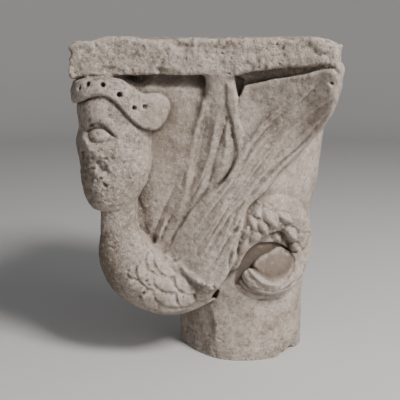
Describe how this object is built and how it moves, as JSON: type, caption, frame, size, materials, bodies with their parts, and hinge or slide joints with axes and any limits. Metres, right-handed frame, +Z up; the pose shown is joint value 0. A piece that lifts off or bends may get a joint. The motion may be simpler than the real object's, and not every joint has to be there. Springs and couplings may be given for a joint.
{
  "type": "historiated capital",
  "caption": "Carved limestone capital on a round foot: a winged, serpent-tailed siren under the corner of a worn square abacus.",
  "frame": {"origin": "centre of the lower bed, the underside of the round foot", "axes": "+Z up through the upper bed, -Y towards the carved front, +X to the front's right"},
  "size_m": [0.287, 0.2926, 0.368],
  "materials": {
    "limestone": "rough, pitted and worn grey-beige limestone with a brownish patina"
  },
  "bodies": {
    "root": {"capital": "limestone"}
  },
  "joints": []
}
